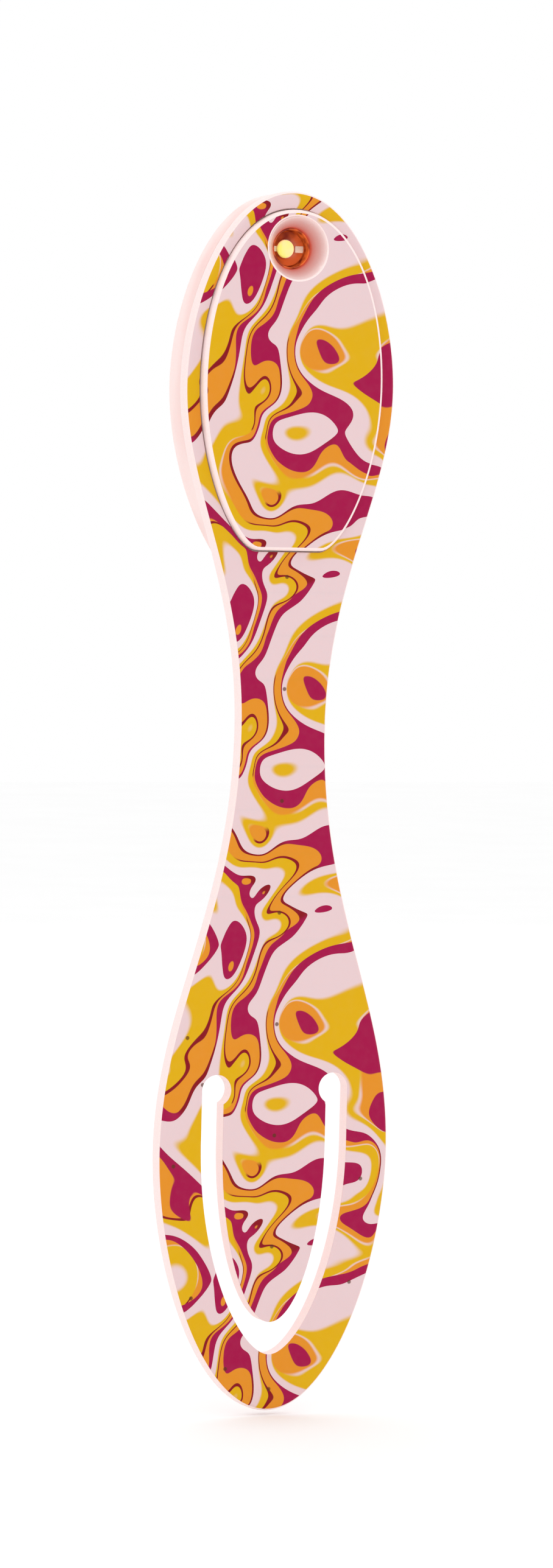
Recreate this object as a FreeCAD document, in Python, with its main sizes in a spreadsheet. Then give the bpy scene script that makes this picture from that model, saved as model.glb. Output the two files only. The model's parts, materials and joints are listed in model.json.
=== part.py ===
import FreeCAD, Part
import math
import os
import re
import Sketcher

# Clip-on LED bookmark light. Millimetres, +Z towards the head, front face towards -Y.
# The origin is the throat of the page clip, on the middle plane of the strap.

SIZES = {
    # Strap: one flat outline, leaf-shaped clip at the bottom, narrow neck, oval head rim at the top.
    "strap_thickness": 2.4,
    "edge_round": 0.65,
    "clip_tip_drop": 42.0,
    "clip_tip_reach": 9.5,
    "clip_half_width": 16.5,
    "clip_widest_drop": 7.6,
    "clip_low_reach": 15.1,
    "clip_high_reach": 19.5,
    "neck_half_width": 6.2,
    "neck_waist": 48.1,
    "neck_low_reach": 24.7,
    "neck_high_reach": 19.5,
    "head_half_width": 14.95,
    "head_centre_rise": 29.5,
    "head_low_reach": 13.4,
    "head_high_reach": 11.3,
    "head_length": 55.1,
    "head_top_reach": 9.1,
    # U-shaped slot round the tongue of the clip, with a round relief at each end.
    "slot_half_width": 10.4,
    "slot_shoulder_drop": 6.7,
    "slot_side_reach": 15.9,
    "slot_bottom_drop": 34.5,
    "slot_bottom_reach": 4.0,
    "slot_width": 3.05,
    "tongue_tip_drop": 30.25,
    "tongue_side_reach": 13.5,
    "tongue_tip_reach": 3.6,
    "relief_radius": 2.05,
    "relief_height": 0.5,
    "tongue_hinge": 1.5,
    "flex_gap": 0.45,
    # Spring plates moulded into the clip.
    "plate_thickness": 0.5,
    "frame_plate_outer_margin": 2.1,
    "frame_plate_inner_margin": 1.4,
    "frame_plate_end_drop": 1.0,
    "tongue_plate_half_width": 4.0,
    "tongue_plate_tip_margin": 3.5,
    "tongue_plate_reach": 7.0,
    "tongue_plate_tip_reach": 2.0,
    # Flexible neck: equal links on a dead-soft strip.
    "first_hinge": 23.0,
    "hinge_pitch": 5.7,
    "core_half_width": 2.5,
    "core_clip_end": 8.0,
    "core_head_length": 4.6,
    # Press cap on the front of the head.
    "rim_side_width": 2.15,
    "rim_top_width": 2.4,
    "cap_centre_lift": 0.5,
    "cap_high_reach": 12.4,
    "cap_top_reach": 7.8,
    "cap_bottom_rise": 8.3,
    "cap_low_reach": 11.7,
    "cap_bottom_half_width": 4.4,
    "cap_bottom_reach": 3.2,
    "cap_stand": 1.0,
    "cap_crown": 0.8,
    "cap_crown_spread": 1.6,
    "cap_wall": 1.1,
    "cap_gap": 0.17,
    "lip_thickness": 0.85,
    "flange_width": 0.8,
    "flange_thickness": 0.6,
    "flange_play": 0.05,
    "pocket_gap": 0.2,
    "peg_radius": 1.3,
    # Round recess in the cap with the LED at its bottom.
    "led_drop": 5.0,
    "recess_flare": 1.45,
    "recess_play": 0.3,
    "recess_depth": 2.65,
    "recess_wall": 0.9,
    "led_radius": 2.4,
    "led_tip": -0.6,
    "led_length": 4.8,
    "led_flange_width": 0.32,
    "led_flange_thickness": 0.8,
    "lead_pitch": 2.54,
    "lead_width": 0.5,
    "lead_cup_radius": 0.8,
    "lead_cup_depth": 0.7,
    "lead_cup_back": 2.6,
    "phosphor_thickness": 0.2,
    # Circuit board and tactile switch.
    "works_rise": 27.1,
    "board_margin": 1.0,
    "board_front": 0.95,
    "board_thickness": 0.6,
    "board_tab_half_width": 3.2,
    "board_tab_margin": 1.3,
    "lead_hole_margin": 2.2,
    "lead_hole_radius": 0.45,
    "switch_half_width": 2.25,
    "switch_thickness": 1.3,
    "switch_lid": 0.3,
    "plunger_radius": 1.0,
    "plunger_collar": 0.4,
    "plunger_collar_thickness": 0.25,
    "plunger_stand": 0.4,
    "running_gap": 0.05,
    "resistor_length": 2.0,
    "resistor_width": 1.25,
    "resistor_thickness": 0.5,
    "resistor_side": 4.5,
    "resistor_rise": 6.0,
    # Two coin cells in series and their contacts.
    "cell_radius": 10.0,
    "cell_thickness": 1.6,
    "cell_can_inset": 1.3,
    "cell_can_step": 0.25,
    "cell_bevel": 0.2,
    "cell_gap": 0.4,
    "contact_thickness": 0.2,
    "contact_half_width": 1.5,
    # Rear shell, battery door and screws.
    "shell_side_margin": 0.25,
    "shell_top_margin": 0.2,
    "shell_bottom_rise": 2.1,
    "shell_depth": 5.0,
    "shell_low_reach": 12.0,
    "shell_bottom_reach": 7.5,
    "shell_wall": 1.2,
    "shell_round": 1.6,
    "cradle_gap": 0.3,
    "cradle_wall": 0.8,
    "door_margin": 1.05,
    "door_thickness": 0.65,
    "door_plug_margin": 0.1,
    "door_gap": 0.12,
    "door_tab_half_width": 2.8,
    "door_screw_margin": 3.4,
    "door_tab_end": 2.4,
    "boss_radius": 1.7,
    "screw_radius": 0.8,
    "screw_head_radius": 1.45,
    "screw_head_thickness": 0.45,
    "door_screw_length": 3.2,
    "shell_screw_side": 3.3,
    "shell_screw_rise": 6.1,
    "shell_screw_reach": 0.4,
    "shell_screw_seat": 1.2,
    "drive_half_width": 0.15,
}
HINGE_COUNT = 8

# Places that follow from the sizes. Heights in the head are counted from the last hinge of the neck.
PLACES = {
    "head_start": f"first_hinge + {HINGE_COUNT - 1} * hinge_pitch",
    "head_centre": "head_start + head_centre_rise",
    "head_top": "head_start + head_length",
    "cap_half_width": "head_half_width - rim_side_width",
    "cap_centre": "head_centre + cap_centre_lift",
    "cap_top": "head_top - rim_top_width",
    "cap_bottom": "head_start + cap_bottom_rise",
    "led_height": "cap_top - led_drop",
    "led_flange_radius": "led_radius + led_flange_width",
    "recess_floor_radius": "led_radius + recess_play",
    "recess_mouth_radius": "recess_floor_radius + recess_flare",
    "works_height": "head_start + works_rise",
    "board_radius": "cell_radius + board_margin",
    "cell_can_radius": "cell_radius - cell_can_inset",
    "cradle_radius": "cell_radius + cradle_gap",
    "lead_hole_height": "works_height + cradle_radius + cradle_wall + lead_hole_margin",
    "board_tab_top": "lead_hole_height + board_tab_margin",
    "door_radius": "cell_radius + door_margin",
    "door_plug_radius": "cell_radius + door_plug_margin",
    "door_screw_height": "works_height - cell_radius - door_screw_margin",
    "shell_half_width": "head_half_width - shell_side_margin",
    "shell_top": "head_top - shell_top_margin",
    "shell_bottom": "head_start + shell_bottom_rise",
    "shell_screw_height": "head_start + shell_screw_rise",
}

os.makedirs("parts", exist_ok=True)
doc = FreeCAD.newDocument("BookmarkLight")
sheet = doc.addObject("Spreadsheet::Sheet", "Sizes")
for row, (alias, value) in enumerate({**SIZES, **PLACES}.items(), start=1):
    sheet.set(f"A{row}", alias)
    sheet.set(f"B{row}", f"={value}")
    sheet.setAlias(f"B{row}", alias)
doc.recompute()

nodes = []


def cell(alias):
    """The number that the sheet holds under an alias."""
    return float(getattr(sheet, alias))


def aliased(word):
    """A word of an expression, pointed at the sheet if it is a name there."""
    return f"Sizes.{word[0]}" if word[0] in SIZES or word[0] in PLACES else word[0]


def on_sheet(text):
    """An expression whose size names point at the sheet."""
    return re.sub(r"[a-z][a-z_0-9]*", aliased, str(text))


def bind(item, **expressions):
    """Bind properties, given with __ for a dot, to expressions on the sheet."""
    for name, text in expressions.items():
        item.setExpression(name.replace("__", "."), on_sheet(text))
    return item


def node(item):
    """Mark an object as a finished sub-part; its label names its file."""
    item.Label = item.Name
    nodes.append(item)
    return item


# ---- shapes bound to the sheet ----

def block(name, x, y, z):
    """A box between three pairs of expressions."""
    item = doc.addObject("Part::Box", name)
    for size, (low, high) in (("Length", x), ("Width", y), ("Height", z)):
        item.setExpression(size, on_sheet(f"({high}) - ({low})"))
    return bind(item, Placement__Base__x=x[0], Placement__Base__y=y[0], Placement__Base__z=z[0])


def turn_to_y(item, x, y, z):
    """Turn a round primitive's axis to +Y and set where its base centre lies."""
    item.Placement = FreeCAD.Placement(FreeCAD.Vector(), FreeCAD.Rotation(FreeCAD.Vector(1, 0, 0), -90))
    return bind(item, Placement__Base__x=x, Placement__Base__y=y, Placement__Base__z=z)


def rod(name, radius, y, x, z):
    """A cylinder along Y between a pair of expressions."""
    item = bind(doc.addObject("Part::Cylinder", name), Radius=radius, Height=f"({y[1]}) - ({y[0]})")
    return turn_to_y(item, x, y[0], z)


def cone(name, front_radius, back_radius, y, x, z):
    """A cone along Y between a pair of expressions."""
    item = doc.addObject("Part::Cone", name)
    bind(item, Radius1=front_radius, Radius2=back_radius, Height=f"({y[1]}) - ({y[0]})")
    return turn_to_y(item, x, y[0], z)


def fuse(name, *items):
    """One solid from several."""
    item = doc.addObject("Part::MultiFuse", name)
    item.Shapes = list(items)
    item.Refine = True
    return item


def common(name, *items):
    """What several solids share."""
    item = doc.addObject("Part::MultiCommon", name)
    item.Shapes = list(items)
    return item


def cut(name, base, *tools):
    """A solid with tools taken out of it."""
    item = doc.addObject("Part::Cut", name)
    item.Base = base
    item.Tool = tools[0] if len(tools) == 1 else fuse(f"{name}_tools", *tools)
    return item


def group(name, *items):
    """Separate solids that share one node."""
    item = doc.addObject("Part::Compound", name)
    item.Links = list(items)
    return item


def sketch_of(body, points):
    """A closed sketch on the body's XY plane, each corner held by two named dimensions."""
    sketch = body.newObject("Sketcher::SketchObject", f"{body.Name}_profile")
    plane = next(item for item in body.Origin.OriginFeatures if item.Role == "XY_Plane")
    sketch.AttachmentSupport = [(plane, "")]
    sketch.MapMode = "FlatFace"
    count = len(points)
    corners = [FreeCAD.Vector(math.cos(2 * math.pi * k / count), math.sin(2 * math.pi * k / count), 0)
               for k in range(count)]
    for k in range(count):
        sketch.addGeometry(Part.LineSegment(corners[k], corners[(k + 1) % count]), False)
    for k in range(count):
        sketch.addConstraint(Sketcher.Constraint("Coincident", k, 2, (k + 1) % count, 1))
    for k, place in enumerate(points):
        for kind, text in zip(("DistanceX", "DistanceY"), place):
            index = sketch.addConstraint(Sketcher.Constraint(kind, -1, 1, k, 1, 1.0))
            sketch.renameConstraint(index, f"{kind}_{k}")
            sketch.setExpression(f"Constraints.{kind}_{k}", on_sheet(text))
    return sketch


def turned(name, points, x, y, z):
    """A body turned about a line along Y; each point is a radius and a distance along the line."""
    body = doc.addObject("PartDesign::Body", name)
    revolution = body.newObject("PartDesign::Revolution", f"{name}_turn")
    revolution.Profile = sketch_of(body, points)
    revolution.ReferenceAxis = (revolution.Profile[0], ["V_Axis"])
    revolution.Angle = 360
    body.Tip = revolution
    return bind(body, Placement__Base__x=x, Placement__Base__y=y, Placement__Base__z=z)


def strip(name, half_width, thickness, z):
    """A body padded upwards from a flat section centred on the strap's middle plane."""
    body = doc.addObject("PartDesign::Body", name)
    pad = body.newObject("PartDesign::Pad", f"{name}_pad")
    pad.Profile = sketch_of(body, [
        (f"-({half_width})", f"-({thickness}) / 2"),
        (half_width, f"-({thickness}) / 2"),
        (half_width, f"({thickness}) / 2"),
        (f"-({half_width})", f"({thickness}) / 2"),
    ])
    bind(pad, Length=f"({z[1]}) - ({z[0]})")
    body.Tip = pad
    return bind(body, Placement__Base__z=z[0])


# ---- outlines: right-hand curves in the XZ plane, mirrored to the left ----

def outline(name, *stretches):
    """A face from the poles of its right-hand curves, mirrored about the middle of the strap."""
    edges = []
    for side in (1, -1):
        for poles in stretches:
            curve = Part.BezierCurve()
            curve.setPoles([FreeCAD.Vector(side * x, 0, z) for x, z in poles])
            edges.append(curve.toShape())
    face = doc.addObject("Part::Feature", name)
    face.Shape = Part.Face(Part.Wire(Part.__sortEdges__(edges)))
    return face


def slab(name, face, y):
    """An outline made solid between two distances along Y."""
    item = doc.addObject("Part::Extrusion", name)
    item.Base = face
    item.DirMode = "Custom"
    item.Dir = FreeCAD.Vector(0, 1, 0)
    item.Solid = True
    return bind(item, LengthFwd=y[1], LengthRev=f"-({y[0]})")


def leaf(half_width, shoulder, side_reach, tip, tip_reach):
    """The poles of a leaf's lower right side, from its shoulder down to its tip."""
    return [(half_width, shoulder), (half_width, shoulder - side_reach), (tip_reach, tip), (0, tip)]


def strap_outline():
    """The whole light seen from the front."""
    clip_side = (cell("clip_half_width"), -cell("clip_widest_drop"))
    waist = (cell("neck_half_width"), cell("neck_waist"))
    head_side = (cell("head_half_width"), cell("head_centre"))
    return outline(
        "strap_outline",
        leaf(*clip_side, cell("clip_low_reach"), -cell("clip_tip_drop"), cell("clip_tip_reach")),
        [clip_side, (clip_side[0], clip_side[1] + cell("clip_high_reach")),
         (waist[0], waist[1] - cell("neck_low_reach")), waist],
        [waist, (waist[0], waist[1] + cell("neck_high_reach")),
         (head_side[0], head_side[1] - cell("head_low_reach")), head_side],
        [head_side, (head_side[0], head_side[1] + cell("head_high_reach")),
         (cell("head_top_reach"), cell("head_top")), (0, cell("head_top"))],
    )


def leaf_outline(name, poles, top):
    """A leaf closed by straight sides up to a flat top."""
    half_width, shoulder = poles[0]
    return outline(name, poles, [(half_width, shoulder), (half_width, top)], [(half_width, top), (0, top)])


def cap_outline(name, grow):
    """The press cap seen from the front, grown by a margin all round."""
    side = (cell("cap_half_width") + grow, cell("cap_centre"))
    top = cell("cap_top") + grow
    bottom = cell("cap_bottom") - grow
    corner = (cell("cap_bottom_half_width"), bottom)
    near_corner = (corner[0] + cell("cap_bottom_reach"), bottom)
    return outline(
        name,
        [(0, top), (cell("cap_top_reach"), top), (side[0], side[1] + cell("cap_high_reach")), side],
        [side, (side[0], side[1] - cell("cap_low_reach")), near_corner, corner],
        [corner, (0, bottom)],
    )


def shell_outline(name, shrink):
    """The rear shell seen from the back, shrunk by a margin all round."""
    side = (cell("shell_half_width") - shrink, cell("head_centre"))
    top = cell("shell_top") - shrink
    bottom = cell("shell_bottom") + shrink
    return outline(
        name,
        [(0, top), (cell("head_top_reach"), top), (side[0], side[1] + cell("head_high_reach")), side],
        [side, (side[0], side[1] - cell("shell_low_reach")),
         (cell("shell_bottom_reach"), bottom), (0, bottom)],
    )


FRONT = "-strap_thickness / 2"
BACK = "strap_thickness / 2"
THROUGH = ("-strap_thickness", "strap_thickness")
CORE = ("-plate_thickness / 2", "plate_thickness / 2")
REAR = "strap_thickness / 2 + shell_depth"
BEYOND = "2 * head_half_width"


# ---- strap: clip frame, tongue, neck links ----

def rounded_strap():
    """The strap in one piece, with its outer edges rounded."""
    blank = slab("strap_blank", strap_outline(), (FRONT, BACK))
    doc.recompute()
    rounded = doc.addObject("Part::Fillet", "strap")
    rounded.Base = blank
    radius = cell("edge_round")
    rounded.Edges = [
        (index, radius, radius)
        for index, edge in enumerate(blank.Shape.Edges, start=1)
        if edge.BoundBox.YLength < radius
    ]
    return rounded


def strap_between(name, strap, low, high):
    """The part of the strap between two heights."""
    return common(name, strap, block(f"{name}_reach", (f"-({BEYOND})", BEYOND), THROUGH, (low, high)))


def hinge(k):
    """The height of a neck hinge, counted from 0 at the clip."""
    return f"first_hinge + {k} * hinge_pitch"


def make_clip(strap):
    """The clip's frame and tongue, each with its spring plate."""
    slot_top = cell("relief_height")
    slot_poles = leaf(cell("slot_half_width"), -cell("slot_shoulder_drop"), cell("slot_side_reach"),
                      -cell("slot_bottom_drop"), cell("slot_bottom_reach"))
    slot = slab("slot_opening", leaf_outline("slot_outline", slot_poles, slot_top), THROUGH)
    relief_centre = "slot_half_width - relief_radius"
    reliefs = [rod(f"relief_{side}", "relief_radius", THROUGH, f"{sign}({relief_centre})", "relief_height")
               for side, sign in (("right", ""), ("left", "-"))]
    root = block("tongue_root_gap", (f"-({relief_centre})", relief_centre), THROUGH,
                 ("0", "tongue_hinge + flex_gap / 2"))

    margin = cell("frame_plate_outer_margin")
    plate_end = -cell("frame_plate_end_drop")
    outer = leaf(cell("clip_half_width") - margin, -cell("clip_widest_drop"), cell("clip_low_reach"),
                 -cell("clip_tip_drop") + margin, cell("clip_tip_reach"))
    margin = cell("frame_plate_inner_margin")
    inner = leaf(cell("slot_half_width") + margin, -cell("slot_shoulder_drop"), cell("slot_side_reach"),
                 -cell("slot_bottom_drop") - margin, cell("slot_bottom_reach"))
    frame_plate = node(cut(
        "frame_stiffener",
        slab("frame_plate_blank", leaf_outline("frame_plate_outline", outer, plate_end), CORE),
        slab("frame_plate_window", leaf_outline("frame_plate_inside", inner, 0), THROUGH),
    ))
    core = node(strip("neck_core_1", "core_half_width", "plate_thickness",
                      ("core_clip_end", f"{hinge(0)} - flex_gap / 2")))
    whole = strap_between("clip_blank", strap, "-2 * clip_tip_drop", f"{hinge(0)} - flex_gap / 2")
    node(cut("clip_frame", whole, slot, root, *reliefs, frame_plate, core))

    tongue_width = cell("slot_half_width") - cell("slot_width")
    tongue_poles = leaf(tongue_width, -cell("slot_shoulder_drop"), cell("tongue_side_reach"),
                        -cell("tongue_tip_drop"), cell("tongue_tip_reach"))
    tongue_top = cell("tongue_hinge") - cell("flex_gap") / 2
    tongue_face = leaf_outline("tongue_outline", tongue_poles, tongue_top)
    tongue_blank = slab("tongue_blank", tongue_face, (FRONT, BACK))
    plate_tip = -cell("tongue_tip_drop") + cell("tongue_plate_tip_margin")
    plate_poles = leaf(cell("tongue_plate_half_width"), -cell("slot_shoulder_drop"),
                       cell("tongue_plate_reach"), plate_tip, cell("tongue_plate_tip_reach"))
    plate = node(slab("tongue_stiffener", leaf_outline("tongue_plate_outline", plate_poles, plate_end), CORE))
    node(cut("clip_tongue", tongue_blank, *reliefs, plate))


def make_neck(strap):
    """The links between the hinges, each round its length of the core strip."""
    for k in range(1, HINGE_COUNT):
        reach = (f"{hinge(k - 1)} + flex_gap / 2", f"{hinge(k)} - flex_gap / 2")
        core = node(strip(f"neck_core_{k + 1}", "core_half_width", "plate_thickness", reach))
        node(cut(f"neck_link_{k}", strap_between(f"link_blank_{k}", strap, *reach), core))


# ---- head: rim, press cap ----

LIP_BACK = "lip_thickness - strap_thickness / 2"
FLANGE_FRONT = f"{LIP_BACK} + flange_play"
FLANGE_BACK = f"{FLANGE_FRONT} + flange_thickness"
CAP_FACE = "-(strap_thickness / 2 + cap_stand + cap_crown)"
SCREW_BORE = "screw_radius + running_gap"
SHELL_SCREWS = (("right", "shell_screw_side"), ("left", "-shell_screw_side"))


def make_rim(strap):
    """The printed front rim of the head, with a lip that keeps the cap in."""
    base = f"{hinge(HINGE_COUNT - 1)} + flex_gap / 2"
    whole = strap_between("rim_blank", strap, base, "2 * head_top")
    core = node(strip(f"neck_core_{HINGE_COUNT + 1}", "core_half_width", "plate_thickness",
                      (base, f"{base} + core_head_length")))
    window_face = cap_outline("cap_window_outline", cell("cap_gap"))
    window = slab("cap_window", window_face, ("-strap_thickness", BACK))
    pocket_face = cap_outline("cap_pocket_outline", cell("flange_width") + cell("pocket_gap"))
    pocket = slab("cap_pocket", pocket_face, (LIP_BACK, "strap_thickness"))
    bore_reach = ("-shell_screw_reach - running_gap", "strap_thickness")
    bores = [rod(f"rim_bore_{side}", SCREW_BORE, bore_reach, x, "shell_screw_height")
             for side, x in SHELL_SCREWS]
    node(cut("head_bezel", whole, window, pocket, core, *bores))


def make_cap():
    """The crowned press cap with its retaining flange, LED recess and switch peg."""
    spread = "cap_crown_spread"
    depth = f"(cap_crown / (1 - sqrt(1 - 1 / {spread}^2)))"
    crown = bind(
        doc.addObject("Part::Ellipsoid", "cap_crown_form"),
        Radius1=f"(cap_top - cap_bottom) / 2 * {spread}",
        Radius2=f"cap_half_width * {spread}",
        Radius3=depth,
        Placement__Base__y=f"{CAP_FACE} + {depth}",
        Placement__Base__z="(cap_top + cap_bottom) / 2",
    )
    sides = slab("cap_sides", cap_outline("cap_outline", 0), (CAP_FACE, FLANGE_BACK))
    flange_face = cap_outline("cap_flange_outline", cell("flange_width"))
    flange = slab("cap_flange", flange_face, (FLANGE_FRONT, FLANGE_BACK))
    hollow_face = cap_outline("cap_hollow_outline", -cell("cap_wall"))
    hollow = slab("cap_hollow", hollow_face, (FRONT, "strap_thickness"))
    shell = cut("cap_shell", fuse("cap_solid", common("cap_front", sides, crown), flange), hollow)
    inside_face = f"{FRONT} - cap_stand / 2"
    sleeve = rod("recess_sleeve", "recess_floor_radius + recess_wall", (inside_face, FLANGE_BACK),
                 "0", "led_height")
    peg = rod("cap_peg", "peg_radius", (inside_face, f"{SWITCH_FRONT} - plunger_stand"),
              "0", "works_height")
    recess = cone("recess_cone", "recess_mouth_radius", "recess_floor_radius",
                  (CAP_FACE, f"{CAP_FACE} + recess_depth"), "0", "led_height")
    bore = rod("recess_bore", "recess_floor_radius", (CAP_FACE, "strap_thickness"), "0", "led_height")
    node(cut("press_cap", fuse("cap_with_sleeve", shell, sleeve, peg), recess, bore))


# ---- head: board, switch, LED, cells ----

BOARD_BACK = "board_front + board_thickness"
CELL_FRONT = f"{BOARD_BACK} + cell_gap"
CELLS_BACK = f"{CELL_FRONT} + 2 * cell_thickness"
SWITCH_FRONT = "board_front - switch_thickness"
LED_BASE = "led_tip + led_length"
LEAD_BEND = f"{LED_BASE} + running_gap"


def make_led():
    """Straw-hat LED: clear body, two leads bent down to the board, and the phosphor over the die."""
    height = "led_height"
    cup_front = "lead_cup_back - lead_cup_depth"
    solids = []
    for side, sign in (("right", ""), ("left", "-")):
        near = f"{sign}lead_pitch / 2"
        low, high = f"{near} - lead_width / 2", f"{near} + lead_width / 2"
        bar = ("lead_cup_radius + lead_width / 4", "led_radius - lead_width / 2")
        if side == "left":
            bar = (f"-({bar[1]})", "0")
        level = (f"{height} - lead_width / 2", f"{height} + lead_width / 2")
        bar_front = f"{cup_front} + running_gap"
        pieces = [
            block(f"lead_bar_{side}", bar, (bar_front, "lead_cup_back"), level),
            block(f"lead_post_{side}", (low, high), (bar_front, f"{LEAD_BEND} + lead_width"), level),
            block(f"lead_drop_{side}", (low, high), (LEAD_BEND, f"{LEAD_BEND} + lead_width"),
                  ("lead_hole_height - lead_width / 2", height)),
            block(f"lead_foot_{side}", (low, high), ("board_front", f"{LEAD_BEND} + lead_width"),
                  ("lead_hole_height - lead_width / 2", "lead_hole_height + lead_width / 2")),
        ]
        if side == "left":
            pieces.append(rod("lead_cup", "lead_cup_radius", (cup_front, "lead_cup_back"), "0", height))
        solids.append(fuse(f"lead_{side}", *pieces))
    leads = node(group("led_leadframe", *solids))
    phosphor_reach = (f"{cup_front} - phosphor_thickness", cup_front)
    phosphor = node(rod("led_phosphor", "lead_cup_radius - running_gap", phosphor_reach, "0", height))
    dome_back = "led_tip + led_radius"
    dome = bind(doc.addObject("Part::Sphere", "led_dome"), Radius="led_radius")
    dome.Angle2 = 0
    turn_to_y(dome, "0", dome_back, height)
    barrel = rod("led_barrel", "led_radius", (dome_back, LED_BASE), "0", height)
    flange = rod("led_flange", "led_flange_radius", (f"{LED_BASE} - led_flange_thickness", LED_BASE),
                 "0", height)
    node(cut("led_lens", fuse("led_body", dome, barrel, flange), leads, phosphor))


def make_board():
    """Round board with a tab for the LED, the resistor and the tactile switch."""
    board = ("board_front", BOARD_BACK)
    disc = rod("board_disc", "board_radius", board, "0", "works_height")
    tab = block("board_tab", ("-board_tab_half_width", "board_tab_half_width"), board,
                ("works_height", "board_tab_top"))
    holes = [rod(f"lead_hole_{side}", "lead_hole_radius", THROUGH, x, "lead_hole_height")
             for side, x in (("right", "lead_pitch / 2"), ("left", "-lead_pitch / 2"))]
    node(cut("circuit_board", fuse("board_blank", disc, tab), *holes))
    node(block(
        "led_resistor",
        ("resistor_side - resistor_length / 2", "resistor_side + resistor_length / 2"),
        ("board_front - resistor_thickness", "board_front"),
        ("works_height + resistor_rise - resistor_width / 2",
         "works_height + resistor_rise + resistor_width / 2"),
    ))
    collar = "plunger_radius + plunger_collar"
    case = block("switch_case", ("-switch_half_width", "switch_half_width"), (SWITCH_FRONT, "board_front"),
                 ("works_height - switch_half_width", "works_height + switch_half_width"))
    mouth = rod("switch_mouth", "plunger_radius + running_gap",
                (f"{SWITCH_FRONT} - switch_lid", "board_front - switch_lid"), "0", "works_height")
    chamber = rod("switch_chamber", f"{collar} + running_gap",
                  (f"{SWITCH_FRONT} + switch_lid", "board_front - switch_lid / 2"), "0", "works_height")
    node(cut("switch_body", case, mouth, chamber))
    rest = "plunger_stand + switch_lid + running_gap"
    node(turned("switch_plunger", [
        ("0", "0"),
        ("plunger_radius", "0"),
        ("plunger_radius", rest),
        (collar, rest),
        (collar, f"{rest} + plunger_collar_thickness"),
        ("0", f"{rest} + plunger_collar_thickness"),
    ], "0", f"{SWITCH_FRONT} - plunger_stand", "works_height"))


def make_cells():
    """Two coin cells in series, a spring leaf in front of them and a side contact."""
    for k, name in enumerate(("coin_cell_front", "coin_cell_rear")):
        node(turned(name, [
            ("0", "0"),
            ("cell_can_radius", "0"),
            ("cell_can_radius", "cell_can_step"),
            ("cell_radius", "cell_can_step"),
            ("cell_radius", "cell_thickness - cell_bevel"),
            ("cell_radius - cell_bevel", "cell_thickness"),
            ("0", "cell_thickness"),
        ], "0", f"{CELL_FRONT} + {k} * cell_thickness", "works_height"))
    across = ("-contact_half_width", "contact_half_width")
    foot = block("leaf_foot", across, (BOARD_BACK, f"{BOARD_BACK} + contact_thickness"),
                 ("works_height - 3 * contact_half_width", "works_height - contact_half_width"))
    leaf_spring = block("leaf_spring", across, (f"{BOARD_BACK} + contact_thickness", CELL_FRONT),
                        ("works_height - 2 * contact_half_width", "works_height + 2 * contact_half_width"))
    node(fuse("contact_negative", foot, leaf_spring))
    side = "cell_radius + contact_thickness / 2"
    high = ("works_height - contact_half_width", "works_height + contact_half_width")
    upright = block("side_upright", (side, f"{side} + contact_thickness"),
                    (BOARD_BACK, f"{CELLS_BACK} - cell_thickness / 2"), high)
    base = block("side_foot", ("cell_radius - contact_half_width", side),
                 (BOARD_BACK, f"{BOARD_BACK} + contact_thickness"), high)
    node(fuse("contact_positive", upright, base))


# ---- head: rear shell, door, screws ----

def screw(name, x, y, z, length):
    """A countersunk-free pan screw pointing forwards: y is the back of its head, length its shank."""
    head_front = f"{y} - screw_head_thickness"
    shank = rod(f"{name}_shank", "screw_radius", (f"{head_front} - ({length})", head_front), x, z)
    head = rod(f"{name}_head", "screw_head_radius", (head_front, y), x, z)
    reach = "screw_head_radius * 0.7"
    depth = (f"{y} - screw_head_thickness / 2", f"{y} + screw_head_thickness")
    drives = [
        block(f"{name}_drive_across", (f"{x} - {reach}", f"{x} + {reach}"), depth,
              (f"{z} - drive_half_width", f"{z} + drive_half_width")),
        block(f"{name}_drive_up", (f"{x} - drive_half_width", f"{x} + drive_half_width"), depth,
              (f"{z} - {reach}", f"{z} + {reach}")),
    ]
    return cut(name, fuse(f"{name}_blank", shank, head), *drives)


OUTSIDE = f"{REAR} + shell_wall"
SCREW_SEAT = "screw_head_radius + running_gap * 2"
DOOR_FRONT = f"{REAR} - door_thickness"
SHELL_SEAT = f"{REAR} - shell_screw_seat"


def door_form(name, grow, y):
    """The door's round plate and its tab, grown by a clearance."""
    plate = rod(f"{name}_plate", f"door_radius + {grow}", y, "0", "works_height")
    tab = block(f"{name}_tab", (f"-door_tab_half_width - {grow}", f"door_tab_half_width + {grow}"), y,
                (f"door_screw_height - door_tab_end - {grow}", "works_height"))
    return fuse(name, plate, tab)


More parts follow.
